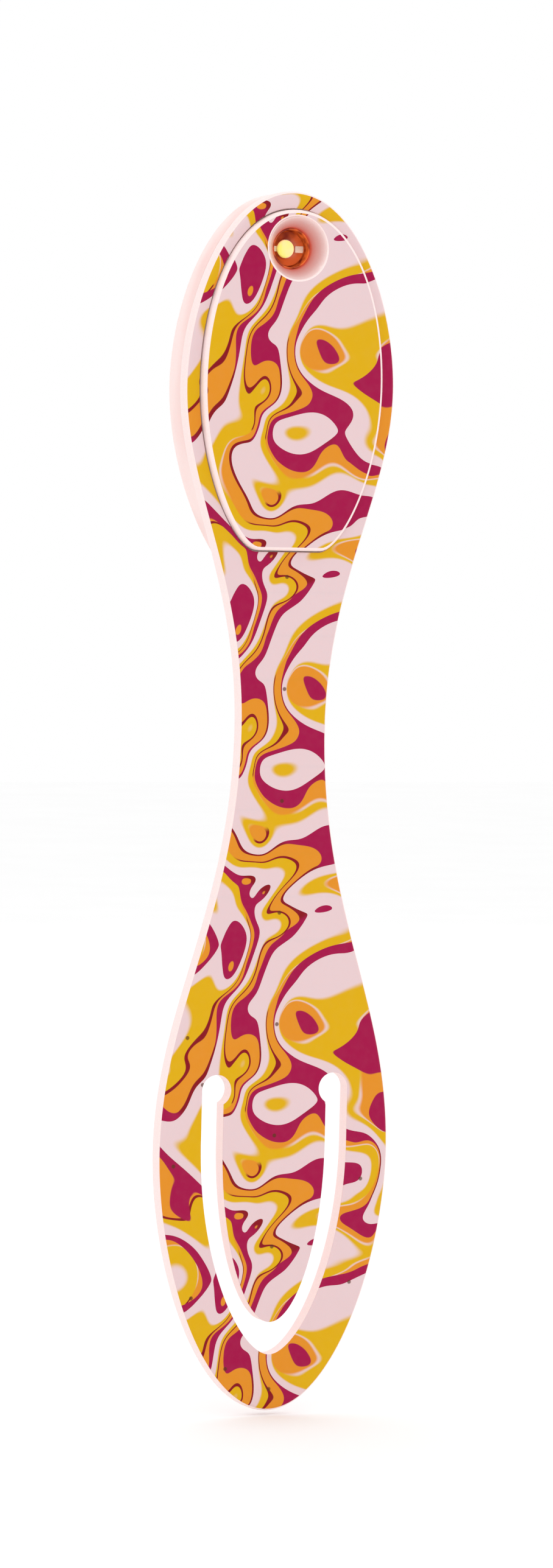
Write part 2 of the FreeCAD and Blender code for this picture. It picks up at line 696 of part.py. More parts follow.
def make_shell():
    """The rear half of the head, with the cells' cradle and the bosses for three screws."""
    blank = slab("shell_blank", shell_outline("shell_outer_outline", 0), (BACK, REAR))
    doc.recompute()
    rounded = doc.addObject("Part::Fillet", "shell_rounded")
    rounded.Base = blank
    rear = blank.Shape.BoundBox.YMax
    radius = cell("shell_round")
    rounded.Edges = [
        (index, radius, radius)
        for index, edge in enumerate(blank.Shape.Edges, start=1)
        if edge.BoundBox.YMin > rear - radius
    ]
    floor = f"{REAR} - shell_wall"
    hollow = slab("shell_hollow", shell_outline("shell_inner_outline", cell("shell_wall")), ("0", floor))
    cradle = cut(
        "cell_cradle",
        rod("cradle_outer", "cradle_radius + cradle_wall", (BOARD_BACK, floor), "0", "works_height"),
        rod("cradle_inner", "cradle_radius", ("0", REAR), "0", "works_height"),
        block("cradle_slot", ("0", "cradle_radius + 2 * cradle_wall"), ("0", floor),
              ("works_height - contact_half_width - cradle_gap",
               "works_height + contact_half_width + cradle_gap")),
    )
    bosses = [rod(f"shell_boss_{side}", "boss_radius", (BACK, floor), x, "shell_screw_height")
              for side, x in SHELL_SCREWS]
    boss_front = f"{floor} - door_screw_length"
    door_boss = rod("door_boss", "boss_radius", (boss_front, DOOR_FRONT), "0", "door_screw_height")
    door_web = block("door_web", ("-shell_wall / 2", "shell_wall / 2"), (boss_front, floor),
                     ("shell_bottom + shell_wall / 2", "door_screw_height"))
    solid = fuse("shell_solid", cut("shell_tub", rounded, hollow), cradle, *bosses, door_boss, door_web)
    tools = [
        rod("cell_mouth", "cradle_radius", (f"{floor} - cradle_wall", OUTSIDE), "0", "works_height"),
        door_form("door_recess", "door_gap", (DOOR_FRONT, OUTSIDE)),
        rod("door_bore", SCREW_BORE, ("0", OUTSIDE), "0", "door_screw_height"),
    ]
    for side, x in SHELL_SCREWS:
        tools.append(rod(f"shell_bore_{side}", SCREW_BORE, ("0", REAR), x, "shell_screw_height"))
        tools.append(rod(f"shell_seat_{side}", SCREW_SEAT, (SHELL_SEAT, OUTSIDE), x, "shell_screw_height"))
    node(cut("rear_shell", solid, *tools))
    seats = f"{SHELL_SEAT} + screw_head_thickness"
    length = f"{SHELL_SEAT} + shell_screw_reach"
    node(group("shell_screws", *[screw(f"shell_screw_{side}", x, seats, "shell_screw_height", length)
                                 for side, x in SHELL_SCREWS]))


def make_door():
    """The battery door and the captive screw that holds it."""
    plate = door_form("door_blank", "0", (DOOR_FRONT, REAR))
    plug_reach = (f"{CELLS_BACK} + running_gap", DOOR_FRONT)
    plug = rod("door_plug", "door_plug_radius", plug_reach, "0", "works_height")
    seat_front = f"{REAR} - screw_head_thickness"
    seat = rod("door_screw_seat", SCREW_SEAT, (seat_front, OUTSIDE), "0", "door_screw_height")
    bore = rod("door_screw_hole", SCREW_BORE, ("0", OUTSIDE), "0", "door_screw_height")
    node(cut("battery_door", fuse("door_with_plug", plate, plug), seat, bore))
    node(screw("door_screw", "0", REAR, "door_screw_height", "door_screw_length"))


strap = rounded_strap()
make_clip(strap)
make_neck(strap)
make_rim(strap)
make_cap()
make_led()
make_board()
make_cells()
make_shell()
make_door()
doc.recompute()

for item in doc.Objects:
    if "Invalid" in item.State or "Error" in item.State:
        raise RuntimeError(f"{item.Label} failed: {item.State}")
for item in nodes:
    if item.Shape.isNull() or not item.Shape.isValid() or not item.Shape.Solids:
        raise RuntimeError(f"{item.Label} has no valid solid")
    item.Shape.exportStep(f"parts/{item.Label}.step")
    print(f"{item.Label}: {len(item.Shape.Solids)} solid(s), {item.Shape.Volume:.1f} mm3")
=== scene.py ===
"""Looks of the clip-on LED bookmark light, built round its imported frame."""

import json
import logging
import math
from collections.abc import Callable, Iterable
from dataclasses import dataclass, field
from enum import Enum

import bmesh
import bpy
from mathutils import Matrix, Vector
from mathutils.geometry import interpolate_bezier


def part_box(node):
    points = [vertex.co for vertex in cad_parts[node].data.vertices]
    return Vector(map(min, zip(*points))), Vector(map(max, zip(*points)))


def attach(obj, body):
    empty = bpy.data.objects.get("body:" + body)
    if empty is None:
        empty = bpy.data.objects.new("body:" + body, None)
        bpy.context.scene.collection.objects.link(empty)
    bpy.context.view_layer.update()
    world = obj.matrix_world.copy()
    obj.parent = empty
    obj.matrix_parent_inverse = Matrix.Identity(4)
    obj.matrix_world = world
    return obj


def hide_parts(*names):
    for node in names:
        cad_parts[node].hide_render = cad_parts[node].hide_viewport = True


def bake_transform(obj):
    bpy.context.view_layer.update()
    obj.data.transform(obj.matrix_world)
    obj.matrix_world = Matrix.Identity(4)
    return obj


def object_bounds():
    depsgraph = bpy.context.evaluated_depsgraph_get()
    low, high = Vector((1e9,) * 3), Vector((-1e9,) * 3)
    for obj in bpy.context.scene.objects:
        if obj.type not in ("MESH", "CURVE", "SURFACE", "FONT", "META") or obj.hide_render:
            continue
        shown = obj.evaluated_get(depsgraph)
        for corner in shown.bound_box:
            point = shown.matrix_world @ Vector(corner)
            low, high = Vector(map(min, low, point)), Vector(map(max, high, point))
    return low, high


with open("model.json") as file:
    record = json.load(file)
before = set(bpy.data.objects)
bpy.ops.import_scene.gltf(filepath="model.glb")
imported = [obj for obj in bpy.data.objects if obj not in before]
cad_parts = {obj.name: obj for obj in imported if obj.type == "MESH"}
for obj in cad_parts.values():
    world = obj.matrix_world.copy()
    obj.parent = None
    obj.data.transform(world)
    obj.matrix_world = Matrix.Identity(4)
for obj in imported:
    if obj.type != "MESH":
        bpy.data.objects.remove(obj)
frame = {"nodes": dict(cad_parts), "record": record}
CAD_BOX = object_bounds()

MM = 0.001
# Distances in millimetres under which two points are one.
HAIR = 0.0001
DOUBLE = 1e-5
ON_PLANE = 1e-6
REST = "rest_place"
INK = "ink"
# Point attribute for the painted shade and LED glow on the cap's recess wall; it is highest near the LED.
GLOW = "glow"
LOG = logging.getLogger("bookmark_light")

Point = tuple[float, float]
Stretch = tuple[Point, Point, Point, Point]
Triple = tuple[float, float, float]
Place = Callable[[int], Vector]
Ring = tuple[Place, float, float]


# ---------------------------------------------------------------- shader maths


class Signal:
    """A shader number that takes Python's arithmetic operators."""

    def __init__(self, shader: "Shader", socket: bpy.types.NodeSocket) -> None:
        """Wrap one output socket."""
        self.shader = shader
        self.socket = socket

    def _math(self, operation: str, *values: "Signal | float") -> "Signal":
        """Add one Math node and return its output."""
        return self.shader.add("ShaderNodeMath", {"operation": operation}, *values)

    def __add__(self, other: "Signal | float") -> "Signal":
        """self + other."""
        return self._math("ADD", self, other)

    def __radd__(self, other: float) -> "Signal":
        """other + self."""
        return self._math("ADD", other, self)

    def __sub__(self, other: "Signal | float") -> "Signal":
        """self - other."""
        return self._math("SUBTRACT", self, other)

    def __rsub__(self, other: float) -> "Signal":
        """other - self."""
        return self._math("SUBTRACT", other, self)

    def __mul__(self, other: "Signal | float") -> "Signal":
        """self * other."""
        return self._math("MULTIPLY", self, other)

    def __rmul__(self, other: float) -> "Signal":
        """other * self."""
        return self._math("MULTIPLY", other, self)

    def __truediv__(self, other: "Signal | float") -> "Signal":
        """self / other."""
        return self._math("DIVIDE", self, other)

    def fraction(self) -> "Signal":
        """What is left of a whole number."""
        return self._math("FRACT", self)

    def absolute(self) -> "Signal":
        """The size without the sign."""
        return self._math("ABSOLUTE", self)

    def sine(self) -> "Signal":
        """The sine, in radians."""
        return self._math("SINE", self)

    def cosine(self) -> "Signal":
        """The cosine, in radians."""
        return self._math("COSINE", self)

    def root(self) -> "Signal":
        """The square root."""
        return self._math("SQRT", self)

    def lowest(self, other: "Signal | float") -> "Signal":
        """The smaller of two."""
        return self._math("MINIMUM", self, other)

    def highest(self, other: "Signal | float") -> "Signal":
        """The larger of two."""
        return self._math("MAXIMUM", self, other)

    def rise(self, low: float, high: float) -> "Signal":
        """A smooth step.

        Args:
            low: where the step starts, at 0.
            high: where it ends, at 1; below low, the step falls.
        """
        settings = {"interpolation_type": "SMOOTHSTEP"}
        if low < high:
            return self.shader.add("ShaderNodeMapRange", settings, self, low, high, 0.0, 1.0)
        return self.shader.add("ShaderNodeMapRange", settings, self, high, low, 1.0, 0.0)


Input = Signal | float | tuple | bpy.types.NodeSocket


class Shader:
    """One material and the nodes that make it."""

    def __init__(self, name: str) -> None:
        """Start an empty material."""
        self.material = bpy.data.materials.new(name)
        self.material.use_nodes = True
        self.tree = self.material.node_tree
        self.tree.nodes.clear()

    def _node(self, kind: str, settings: dict, values: Iterable[Input],
              named: dict[str, Input]) -> bpy.types.Node:
        """Make a node: its settings first, then the values or links of its sockets."""
        node = self.tree.nodes.new(kind)
        for key, value in settings.items():
            setattr(node, key, value)
        sockets = [socket for socket in node.inputs if socket.enabled]
        pairs = list(zip(sockets, values)) + [(node.inputs[key], value) for key, value in named.items()]
        for socket, value in pairs:
            if isinstance(value, Signal):
                value = value.socket
            if isinstance(value, bpy.types.NodeSocket):
                self.tree.links.new(value, socket)
            else:
                socket.default_value = value
        return node

    def add(self, kind: str, settings: dict, *values: Input, out: int = 0, **named: Input) -> Signal:
        """Add a node.

        Args:
            kind: the node's type.
            settings: properties set before its sockets, such as a Math node's operation.
            values: values or links of its sockets, in order.
            out: which enabled output to return.
            named: values or links of sockets by name.

        Returns:
            The chosen output.
        """
        spaced = {key.replace("_", " "): value for key, value in named.items()}
        node = self._node(kind, settings, values, spaced)
        return Signal(self, [socket for socket in node.outputs if socket.enabled][out])

    def number(self, attribute: str) -> Signal:
        """A number stored on the mesh's points."""
        return self.add("ShaderNodeAttribute", {"attribute_name": attribute}, out=2)

    def place(self) -> Signal:
        """Where a point of a printed piece lies at rest, in millimetres."""
        return self.add("ShaderNodeAttribute", {"attribute_name": REST}, out=1)

    def object_place(self) -> Signal:
        """Object coordinates, in metres."""
        return self.add("ShaderNodeTexCoord", {}, out=3)

    def parts(self, vector: Signal) -> tuple[Signal, Signal, Signal]:
        """The X, Y and Z of a vector."""
        node = self._node("ShaderNodeSeparateXYZ", {}, [vector], {})
        return tuple(Signal(self, socket) for socket in node.outputs)

    def vector(self, x: Input, y: Input, z: Input) -> Signal:
        """A vector from three numbers."""
        return self.add("ShaderNodeCombineXYZ", {}, x, y, z)

    def move(self, operation: str, *values: Input) -> Signal:
        """One Vector Math node."""
        return self.add("ShaderNodeVectorMath", {"operation": operation}, *values)

    def noise(self, place: Input, scale: float, detail: float = 0.0, out: int = 0) -> Signal:
        """Smooth noise; output 0 is a number and output 1 a colour."""
        return self.add("ShaderNodeTexNoise", {}, Vector=place, Scale=scale, Detail=detail, out=out)

    def blend(self, mask: Input, below: Input, above: Input) -> Signal:
        """A colour that goes from one to another as a mask rises."""
        colours = [(*value, 1.0) if isinstance(value, tuple) else value for value in (below, above)]
        return self.add("ShaderNodeMix", {"data_type": "RGBA"}, mask, *colours)

    def bump(self, height: Signal, strength: float, distance: float) -> Signal:
        """A surface normal from a height."""
        return self.add("ShaderNodeBump", {}, Strength=strength, Distance=distance, Height=height)

    def finish(self, constants: dict[str, float | tuple], **links: Input) -> bpy.types.Material:
        """Close the material.

        Args:
            constants: values set on the shader's own sockets.
            links: what changes over the surface, by socket name.

        Returns:
            The finished material.
        """
        node = self._node("ShaderNodeBsdfPrincipled", {}, [], {})
        for key, value in constants.items():
            node.inputs[key].default_value = value
        for key, value in links.items():
            self.tree.links.new(value.socket, node.inputs[key.replace("_", " ")])
        output = self.tree.nodes.new("ShaderNodeOutputMaterial")
        self.tree.links.new(node.outputs[0], output.inputs[0])
        return self.material


# ---------------------------------------------------------------- finishes


def linear(code: str) -> Triple:
    """Linear colour from a six-digit display colour."""
    parts = [int(code[k:k + 2], 16) / 255 for k in (0, 2, 4)]
    return tuple(c / 12.92 if c <= 0.04045 else ((c + 0.055) / 1.055) ** 2.4 for c in parts)


class Gloss(Enum):
    """How shiny the lacquer over the print is."""

    SATIN = 0.36
    GLOSS = 0.24


@dataclass(frozen=True)
class SwirlPrint:
    """Marbled print in three inks on pale pink plastic, repeating along the strap."""

    name: str
    gloss: Gloss
    ground: str = "E3C8CA"
    plastic: str = "FBE7E4"
    shaded_plastic: str = "F6D9D6"
    magenta: str = "A10044"
    wine: str = "860014"
    orange: str = "DF8D20"
    yellow: str = "DBAA00"
    # Dark red painted on the recess wall near the LED and emitted there: painted shade and LED glow.
    glow: str = "B04A3A"
    # Dark colour of the mould-pin holes: partly the steel at their bottom, partly painted shade in the holes.
    pin: str = "5A2A10"
    repeat: float = 44.0
    drift: float = 140.0
    cycle: float = 9.6
    slow_scale: float = 0.06
    slow_push: float = 30.0
    quick_scale: float = 0.11
    quick_push: float = 18.0
    slant: float = 0.05
    start: float = 0.3
    share_shift: Triple = (31.0, 7.0, 3.0)
    share_scale: float = 0.085
    share_swing: float = 1.1
    share_middle: float = 0.62
    swell_shift: Triple = (-17.0, 27.0, 13.0)
    swell_scale: float = 0.10
    seam_shift: Triple = (57.0, -21.0, 9.0)
    seam_scale: float = 0.07
    ground_end: Point = (0.29, 0.37)
    ink_edge: float = 0.02
    outline_start: float = 0.92
    outline_swing: float = 0.28
    outline_edge: float = 0.006
    pin_radius: float = 0.33
    pin_pitch: float = 14.67
    pin_start: float = 9.1
    side_pins: tuple[Point, ...] = (
        (0.0, -39.1), (-12.7, 7.5), (-10.4, 1.3), (-14.3, -9.3),
        (-11.4, -26.7), (-6.3, -36.2), (11.3, -25.3), (12.6, -11.6),
    )

    def _push(self, s: Shader, place: Signal, scale: float, reach: float) -> Signal:
        """Slide a place about by smooth noise, as wet ink is dragged."""
        drag = s.move("SUBTRACT", s.noise(place, scale, out=1), (0.5, 0.5, 0.5))
        return s.move("ADD", place, s.move("MULTIPLY", drag, (reach, reach, reach)))

    def _inks(self, s: Shader, x: Signal, z: Signal) -> Signal:
        """The colour of the print.

        Args:
            s: the material's shader.
            x: the place across the strap.
            z: the place along it.

        Returns:
            Bands of ink in a fixed order, dragged into folds, hooks and blobs.
        """
        turn = z * (2 * math.pi / self.repeat)
        radius = self.repeat / (2 * math.pi)
        ring = s.vector(x + self.drift, turn.cosine() * radius, turn.sine() * radius)
        slow = self._push(s, ring, self.slow_scale, self.slow_push)
        across, along, _ = s.parts(self._push(s, slow, self.quick_scale, self.quick_push))
        band = (across / self.cycle + along * self.slant + self.start).fraction()
        share = s.noise(s.move("ADD", ring, self.share_shift), self.share_scale)
        swell = s.noise(s.move("ADD", ring, self.swell_shift), self.swell_scale)
        seam = s.noise(s.move("ADD", ring, self.seam_shift), self.seam_scale)
        ground, wine = linear(self.ground), linear(self.wine)
        colour = s.blend(band.rise(*self.ground_end), ground, linear(self.yellow))
        split = band - ((share - 0.5) * self.share_swing + self.share_middle)
        colour = s.blend(split.rise(-self.ink_edge, self.ink_edge), colour, linear(self.orange))
        gap = split.absolute()
        colour = s.blend(gap.rise(0.04, 0.0) * seam.rise(0.50, 0.42) * 0.8, colour, ground)
        colour = s.blend(gap.rise(0.034, 0.026) * seam.rise(0.53, 0.55), colour, wine)
        outline = band - (self.outline_start - swell.rise(0.40, 0.60) * self.outline_swing)
        ink = s.blend(swell.rise(0.44, 0.38), linear(self.magenta), wine)
        return s.blend(outline.rise(-self.outline_edge, self.outline_edge), colour, ink)

    def _pins(self, s: Shader, x: Signal, z: Signal) -> Signal:
        """Small round mould-pin holes, painted dark for the steel at their bottom and the shade in them: an
        even row up the middle and a few in the clip.
        """
        along = ((z - (self.pin_start - self.pin_pitch / 2)) / self.pin_pitch).fraction()
        along = (along - 0.5) * self.pin_pitch
        row = (x * x + along * along).root().rise(self.pin_radius, self.pin_radius * 0.6)
        marks = row * z.rise(70.0, 69.0) * z.rise(-30.0, -29.0)
        for pin_x, pin_z in self.side_pins:
            across, up = x - pin_x, z - pin_z
            reach = (across * across + up * up).root()
            marks = marks.highest(reach.rise(self.pin_radius, self.pin_radius * 0.6))
        return marks

    def build(self) -> bpy.types.Material:
        """Make the material."""
        s = Shader(self.name)
        place = s.place()
        x, _, z = s.parts(place)
        mottle = s.noise(place, 0.9, 3.0)
        colour = s.blend(mottle.rise(0.35, 0.75) * 0.006, self._inks(s, x, z), (1.0, 0.9, 0.86))
        pins = self._pins(s, x, z)
        inked = s.number(INK).rise(0.35, 0.65)
        speck = s.noise(place, 6.0, 2.0)
        plastic = s.blend(speck.rise(0.3, 0.7) * 0.4, linear(self.plastic), linear(self.shaded_plastic))
        # Painted shade and LED glow: the recess wall turns dark red towards the LED and emits that red,
        # though it is no lamp.
        painted_led_glow = s.number(GLOW)
        plastic = s.blend(painted_led_glow, plastic, linear(self.glow))
        colour = s.blend(inked, plastic, colour)
        # Pin holes painted dark: the steel at their bottom and painted shade in them.
        colour = s.blend(pins * inked * 0.8, colour, linear(self.pin))
        peel = s.noise(place, 1.6, 2.0) + s.noise(place, 9.0, 1.0) * 0.35 - pins * 2.0 + inked * 0.3
        rough = mottle * 0.10 + (self.gloss.value - 0.05) + (1.0 - inked) * 0.08
        return s.finish(
            {
                "IOR": 1.46, "Specular IOR Level": 0.18, "Subsurface Weight": 0.10,
                "Subsurface Radius": (1.0, 0.45, 0.35), "Subsurface Scale": 0.0006, "Emission Strength": 0.6,
            },
            Base_Color=colour, Roughness=rough, Normal=s.bump(peel, 0.22, 0.00004),
            Emission_Color=s.blend(painted_led_glow * painted_led_glow, (0.0, 0.0, 0.0), linear(self.glow)),
        )


@dataclass(frozen=True)
class MouldedPlastic:
    """Plain moulded plastic with fine speckle, faint flow marks and a soft sheen."""

    name: str
    colour: str
    shade: str
    roughness: float = 0.42
    grain: float = 2600.0
    depth: float = 0.00003
    subsurface: float = 0.12

    def build(self) -> bpy.types.Material:
        """Make the material."""
        s = Shader(self.name)
        place = s.object_place()
        speck = s.noise(place, self.grain, 2.0)
        flow = s.noise(s.move("MULTIPLY", place, (1.0, 1.0, 0.35)), 120.0, 2.0)
        colour = s.blend(flow.rise(0.35, 0.7) * 0.7 + speck * 0.2, linear(self.colour), linear(self.shade))
        rough = speck * 0.12 + flow * 0.08 + (self.roughness - 0.1)
        return s.finish(
            {
                "IOR": 1.48, "Subsurface Weight": self.subsurface, "Subsurface Radius": (1.0, 0.45, 0.35),
                "Subsurface Scale": 0.0012,
            },
            Base_Color=colour, Roughness=rough, Normal=s.bump(speck, 0.35, self.depth),
        )


@dataclass(frozen=True)
class RolledMetal:
    """Rolled or plated metal with fine lines along one axis and dull patches."""

    name: str
    colour: str
    tarnish: str
    roughness: float = 0.28
    lines: Triple = (60.0, 900.0, 900.0)

    def build(self) -> bpy.types.Material:
        """Make the material."""
        s = Shader(self.name)
        place = s.object_place()
        brush = s.noise(s.move("MULTIPLY", place, self.lines), 6.0, 3.0)
        patch = s.noise(place, 260.0, 3.0)
        dulled = patch.rise(0.45, 0.75) * 0.5 + brush * 0.2
        colour = s.blend(dulled, linear(self.colour), linear(self.tarnish))
        rough = brush * 0.18 + patch.rise(0.4, 0.8) * 0.15 + (self.roughness - 0.1)
        return s.finish({"Metallic": 1.0}, Base_Color=colour, Roughness=rough,
                        Normal=s.bump(brush, 0.25, 0.00002))


@dataclass(frozen=True)
class SolderMask:
    """Green board lacquer with faint tracks under it."""

    name: str = "board_green"
    lacquer: str = "0E5A2C"
    track: str = "2C8A4B"
    track_pitch: float = 2.0

    def build(self) -> bpy.types.Material:
        """Make the material."""
        s = Shader(self.name)
        place = s.object_place()
        x, _, z = s.parts(place)
        step = self.track_pitch * MM
        across = ((x / step).fraction() - 0.5).absolute()
        up = ((z / step).fraction() - 0.5).absolute()
        tracks = across.lowest(up).rise(0.10, 0.06) * s.noise(place, 300.0, 0.0).rise(0.5, 0.52)
        colour = s.blend(tracks, linear(self.lacquer), linear(self.track))
        speck = s.noise(place, 3000.0, 2.0)
        return s.finish({"Coat Weight": 0.4, "Coat Roughness": 0.1}, Base_Color=colour,
                        Roughness=speck * 0.2 + 0.25, Normal=s.bump(tracks, 0.4, 0.00003))


@dataclass(frozen=True)
class CastEpoxy:
    """Clear cast epoxy of the LED, with faint haze."""

    name: str = "led_epoxy"
    clear: str = "FFE4D8"
    hazy: str = "FFD2BE"

    def build(self) -> bpy.types.Material:
        """Make the material."""
        s = Shader(self.name)
        haze = s.noise(s.object_place(), 900.0, 2.0)
        colour = s.blend(haze.rise(0.4, 0.8) * 0.4, linear(self.clear), linear(self.hazy))
        return s.finish({"IOR": 1.5, "Transmission Weight": 1.0}, Base_Color=colour,
                        Roughness=haze * 0.08 + 0.01)


@dataclass(frozen=True)
class Glowing:
    """A surface inside the LED that emits light, mottled between two colours; on the bowl and sleeve this is
    a painted glow.
    """

    name: str
    colour: str
    shade: str
    strength: float
    grain: float
    depth: float = 0.00002

    def build(self) -> bpy.types.Material:
        """Make the material."""
        s = Shader(self.name)
        grain = s.noise(s.object_place(), self.grain, 2.0)
        colour = s.blend(grain.rise(0.35, 0.65), linear(self.colour), linear(self.shade))
        return s.finish({"Emission Strength": self.strength}, Base_Color=colour, Emission_Color=colour,
                        Roughness=grain * 0.3 + 0.4, Normal=s.bump(grain, 0.2, self.depth))


# ---------------------------------------------------------------- outlines


def trace(stretches: Iterable[Stretch], steps: int) -> list[Vector]:
    """Points along joined cubic curves in the XZ plane.

    Args:
        stretches: four poles for each curve, in millimetres.
        steps: how many spans each curve is divided into.

    Returns:
        The points in order, each shared end once.
    """
    points: list[Vector] = []
    for poles in stretches:
        ends = [Vector((x, 0.0, z)) for x, z in poles]
        run = interpolate_bezier(ends[0], ends[1], ends[2], ends[3], steps + 1)
        points.extend(run if not points else run[1:])
    return points


def leaf(half_width: float, shoulder: float, side_reach: float, tip: float, tip_reach: float) -> Stretch:
    """The poles of a leaf's lower right side, from its tip up to its shoulder."""
    return (0.0, tip), (tip_reach, tip), (half_width, shoulder - side_reach), (half_width, shoulder)


@dataclass
class StrapForm:
    """The flat strap: what its outline, slot, tongue and window measure, in millimetres."""

    clip_widest: float = -7.6
    tip_reach: float = 9.5
    clip_low_reach: float = 15.1
    clip_high_reach: float = 19.5
    neck_half_width: float = 6.2
    waist: float = 48.1
    neck_low_reach: float = 24.7
    neck_high_reach: float = 19.5
    head_centre: float = 92.4
    head_low_reach: float = 13.4
    head_high_reach: float = 11.3
    top_reach: float = 9.1
    slot_half_width: float = 10.4
    slot_shoulder: float = -6.7
    slot_side_reach: float = 15.9
    slot_bottom: float = -34.5
    slot_bottom_reach: float = 4.0
    tongue_side_reach: float = 13.5
    tongue_tip_reach: float = 3.6
    relief_radius: float = 2.05
    relief_height: float = 0.5
    edge_round: float = 0.65
    slot_round: float = 0.14
    edge_segments: int = 6
    slot_segments: int = 2
    side_spans: int = 40
    relief_spans: int = 24
    tongue_relief_spans: int = 20
    front: float = field(init=False)
    back: float = field(init=False)
    tip: float = field(init=False)
    top: float = field(init=False)
    clip_half_width: float = field(init=False)
    head_half_width: float = field(init=False)
    tongue_half_width: float = field(init=False)
    tongue_tip: float = field(init=False)
    root: float = field(init=False)
    hinges: list[float] = field(init=False)

    def __post_init__(self) -> None:
        """Read the sizes that the frame holds."""
        low, high = (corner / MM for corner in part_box("clip_frame"))
        self.front, self.back = low.y, high.y
        self.tip, self.clip_half_width = low.z, high.x
        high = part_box("head_bezel")[1] / MM
        self.top, self.head_half_width = high.z, high.x
        low, high = (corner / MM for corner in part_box("clip_tongue"))
        self.tongue_tip, self.tongue_half_width = low.z, high.x
        heights = {joint["name"]: joint["pos_m"][2] / MM for joint in frame["record"]["behaviour"]["joints"]
                   if joint["type"] == "hinge"}
        self.root = heights.pop("tongue_flex")
        self.hinges = sorted(heights.values())

    def outline(self) -> list[Stretch]:
        """The strap's right side, from the clip's tip to the top of the head."""
        clip = (self.clip_half_width, self.clip_widest)
        waist = (self.neck_half_width, self.waist)
        head = (self.head_half_width, self.head_centre)
        return [
            leaf(*clip, self.clip_low_reach, self.tip, self.tip_reach),
            (clip, (clip[0], clip[1] + self.clip_high_reach),
             (waist[0], waist[1] - self.neck_low_reach), waist),
            (waist, (waist[0], waist[1] + self.neck_high_reach),
             (head[0], head[1] - self.head_low_reach), head),
            (head, (head[0], head[1] + self.head_high_reach),
             (self.top_reach, self.top), (0.0, self.top)),
        ]

    def rounds(self, edge: bmesh.types.BMEdge) -> bool:
        """Whether an edge lies on the front or the back, away from the middle and the root."""
        here, there = (vert.co for vert in edge.verts)
        on_root = max(abs(here.z - self.root), abs(there.z - self.root)) < HAIR
        return abs(here.y - there.y) < HAIR and max(here.x, there.x) > 0.0 and not on_root

    def _relief(self, side: list[Vector], first: float, spans: int) -> list[Vector]:
        """Carry an edge on round the relief at the slot's end, up to the tongue's root.

        Args:
            side: the edge below the relief.
            first: the angle at which it meets the relief.
            spans: how many spans the arc is divided into.

        Returns:
            The edge with its arc.
        """
        centre = Vector((self.slot_half_width - self.relief_radius, 0.0, self.relief_height))
        last = math.pi - math.asin((self.root - self.relief_height) / self.relief_radius)
        turns = [first + (last - first) * k / spans for k in range(spans + 1)]
        return side + [centre + self.relief_radius * Vector((math.cos(a), 0.0, math.sin(a))) for a in turns]

    def slot(self) -> list[Vector]:
        """The slot's outer edge on the right, from its bottom up to the tongue's root."""
        side = trace([leaf(self.slot_half_width, self.slot_shoulder, self.slot_side_reach, self.slot_bottom,
                           self.slot_bottom_reach)], self.side_spans)
        return self._relief(side, 0.0, self.relief_spans)

    def tongue(self) -> list[Vector]:
        """The tongue's right edge, from its tip up past the relief to its root."""
        side = trace([leaf(self.tongue_half_width, self.slot_shoulder, self.tongue_side_reach,
                           self.tongue_tip, self.tongue_tip_reach)], self.side_spans)
        overlap = self.slot_half_width - self.relief_radius - self.tongue_half_width
        first = math.pi + math.acos(overlap / self.relief_radius)
        return self._relief(side, first, self.tongue_relief_spans)


@dataclass
class CapForm:
    """The press cap's outline and crown, in millimetres."""

    high_reach: float = 12.4
    top_reach: float = 7.8
    low_reach: float = 11.7
    bottom_half_width: float = 4.4
    bottom_reach: float = 3.2
    centre: float = 92.9
    flange: float = 0.8
    gap: float = 0.17
    crown: float = 0.8
    spread: float = 1.6
    half_width: float = field(init=False)
    top: float = field(init=False)
    bottom: float = field(init=False)
    face: float = field(init=False)

    def __post_init__(self) -> None:
        """Read the sizes that the frame holds."""
        low, high = (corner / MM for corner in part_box("press_cap"))
        self.half_width = high.x - self.flange
        self.top = high.z - self.flange
        self.bottom = low.z + self.flange
        self.face = low.y

    def outline(self, grow: float) -> list[Stretch]:
        """The right side from top to bottom, grown by a margin."""
        side = (self.half_width + grow, self.centre)
        top, bottom = self.top + grow, self.bottom - grow
        corner = (self.bottom_half_width, bottom)
        return [
            ((0.0, top), (self.top_reach, top), (side[0], side[1] + self.high_reach), side),
            (side, (side[0], side[1] - self.low_reach), (corner[0] + self.bottom_reach, bottom), corner),
        ]

    def surface(self, x: float, z: float) -> float:
        """How far forward the crowned front lies at a point."""
        depth = self.crown / (1 - math.sqrt(1 - 1 / self.spread ** 2))
        across = x / (self.half_width * self.spread)
        along = (z - (self.top + self.bottom) / 2) / ((self.top - self.bottom) / 2 * self.spread)
        return self.face + depth * (1 - math.sqrt(1 - across ** 2 - along ** 2))


# ---------------------------------------------------------------- mesh helpers


def to_object(bm: bmesh.types.BMesh, name: str, sharp: float = 35.0) -> bpy.types.Object:
    """Turn a bmesh drawn in millimetres into a finished object.

    Args:
        bm: the mesh; it is freed.
        name: the object's name.
        sharp: the angle, in degrees, above which an edge is sharp.

    Returns:
        The object, at the origin, with its rest place stored on its points.
    """
    places = [vert.co.copy() for vert in bm.verts]
    bmesh.ops.scale(bm, vec=(MM, MM, MM), verts=bm.verts)
    mesh = bpy.data.meshes.new(name)
    bm.to_mesh(mesh)
    bm.free()
    rest = mesh.attributes.new(REST, "FLOAT_VECTOR", "POINT")
    rest.data.foreach_set("vector", [c for place in places for c in place])
    mesh.shade_smooth()
    mesh.set_sharp_from_angle(angle=math.radians(sharp))
    piece = bpy.data.objects.new(name, mesh)
    bpy.context.scene.collection.objects.link(piece)
    weighted = piece.modifiers.new("weighted_normals", "WEIGHTED_NORMAL")
    weighted.keep_sharp = True
    weighted.weight = 100
    return piece


